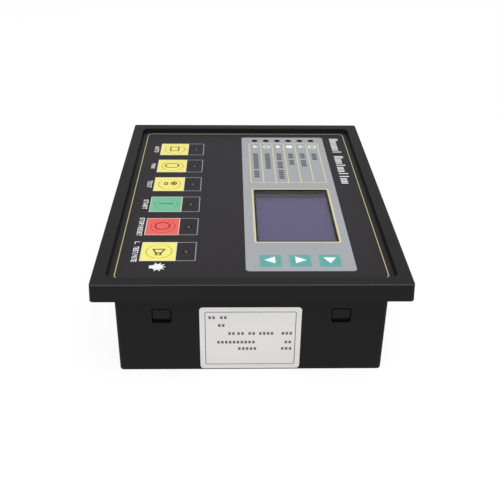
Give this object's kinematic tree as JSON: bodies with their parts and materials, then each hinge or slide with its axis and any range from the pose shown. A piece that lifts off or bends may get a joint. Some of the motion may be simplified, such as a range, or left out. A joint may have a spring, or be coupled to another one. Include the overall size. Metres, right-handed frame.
{
  "type": "genset controller",
  "caption": "Panel-mounted generating-set controller with a sunk film keypad, alarm lamps, graphic display, clip-on rear case and pluggable rear terminals.",
  "frame": {"origin": "middle of the rear wall's outer face, on which the controller lies", "axes": "+X the reading direction, +Y the top of the panel, +Z out of the front"},
  "size_m": [0.2006, 0.1494, 0.056],
  "materials": {
    "bezel_plastic": "fine moulded texture",
    "case_plastic": "fine moulded texture",
    "printed_film": "satin printed polyester",
    "clear_acrylic": "clear",
    "gasket_rubber": "closed-cell foam",
    "label_stock": "satin",
    "lcd_sheet": "satin black",
    "lcd_glass": "polariser",
    "light_guide": "milky",
    "board_laminate": "solder mask",
    "black_moulding": "moulded",
    "blue_moulding": "moulded",
    "nylon": "natural",
    "bright_steel": "zinc plated",
    "pillar_brass": "nickel plated",
    "capacitor_sleeve": "shrunk sleeve",
    "ferrite": "matt",
    "terminal_green": "moulded",
    "tinned_pins": "tin plated",
    "key_plastic": "moulded",
    "smoked_lens": "tinted"
  },
  "bodies": {
    "housing": {"front_bezel": "bezel_plastic", "overlay_film": "printed_film", "display_window": "clear_acrylic", "panel_gasket": "gasket_rubber", "rear_case": "case_plastic", "side_label": "label_stock", "lcd_frame": "lcd_sheet", "lcd_glass": "lcd_glass", "lcd_backlight": "light_guide", "lcd_board": "board_laminate", "lcd_pin_header": "black_moulding", "lcd_spacers": "nylon", "main_board": "board_laminate", "board_chips": "black_moulding", "cell_holder": "black_moulding", "clock_cell": "bright_steel", "clock_crystal": "bright_steel", "link_header": "black_moulding", "board_pillars": "pillar_brass", "board_screws": "bright_steel", "io_board": "board_laminate", "relays": "black_moulding", "supply_capacitors": "capacitor_sleeve", "supply_inductor": "ferrite", "sense_transformers": "blue_moulding", "output_header": "terminal_green", "input_header": "terminal_green", "phase_header": "terminal_green", "current_header": "terminal_green", "header_pins": "tinned_pins", "output_plug": "terminal_green", "input_plug": "terminal_green", "phase_plug": "terminal_green", "current_plug": "terminal_green", "terminal_screws": "bright_steel", "switch_bodies": "black_moulding", "alarm_leds": "smoked_lens", "key_leds": "smoked_lens", "led_spacers": "nylon"},
    "auto_key": {"auto_key": "key_plastic"},
    "manual_key": {"manual_key": "key_plastic"},
    "test_key": {"test_key": "key_plastic"},
    "start_key": {"start_key": "key_plastic"},
    "stop_key": {"stop_key": "key_plastic"},
    "mute_key": {"mute_key": "key_plastic"},
    "right_key": {"right_key": "key_plastic"},
    "up_key": {"up_key": "key_plastic"},
    "down_key": {"down_key": "key_plastic"}
  },
  "joints": [
    {"name": "auto_press", "type": "slide", "parent": "housing", "child": "auto_key", "axis": [0, 0, -1], "range_m": [0, 0.00035], "stiffness_N_per_m": 5000, "springref_m": -0.0002},
    {"name": "manual_press", "type": "slide", "parent": "housing", "child": "manual_key", "axis": [0, 0, -1], "range_m": [0, 0.00035], "stiffness_N_per_m": 5000, "springref_m": -0.0002},
    {"name": "test_press", "type": "slide", "parent": "housing", "child": "test_key", "axis": [0, 0, -1], "range_m": [0, 0.00035], "stiffness_N_per_m": 5000, "springref_m": -0.0002},
    {"name": "start_press", "type": "slide", "parent": "housing", "child": "start_key", "axis": [0, 0, -1], "range_m": [0, 0.00035], "stiffness_N_per_m": 5000, "springref_m": -0.0002},
    {"name": "stop_press", "type": "slide", "parent": "housing", "child": "stop_key", "axis": [0, 0, -1], "range_m": [0, 0.00035], "stiffness_N_per_m": 5000, "springref_m": -0.0002},
    {"name": "mute_press", "type": "slide", "parent": "housing", "child": "mute_key", "axis": [0, 0, -1], "range_m": [0, 0.00035], "stiffness_N_per_m": 5000, "springref_m": -0.0002},
    {"name": "right_press", "type": "slide", "parent": "housing", "child": "right_key", "axis": [0, 0, -1], "range_m": [0, 0.00035], "stiffness_N_per_m": 5000, "springref_m": -0.0002},
    {"name": "up_press", "type": "slide", "parent": "housing", "child": "up_key", "axis": [0, 0, -1], "range_m": [0, 0.00035], "stiffness_N_per_m": 5000, "springref_m": -0.0002},
    {"name": "down_press", "type": "slide", "parent": "housing", "child": "down_key", "axis": [0, 0, -1], "range_m": [0, 0.00035], "stiffness_N_per_m": 5000, "springref_m": -0.0002}
  ]
}
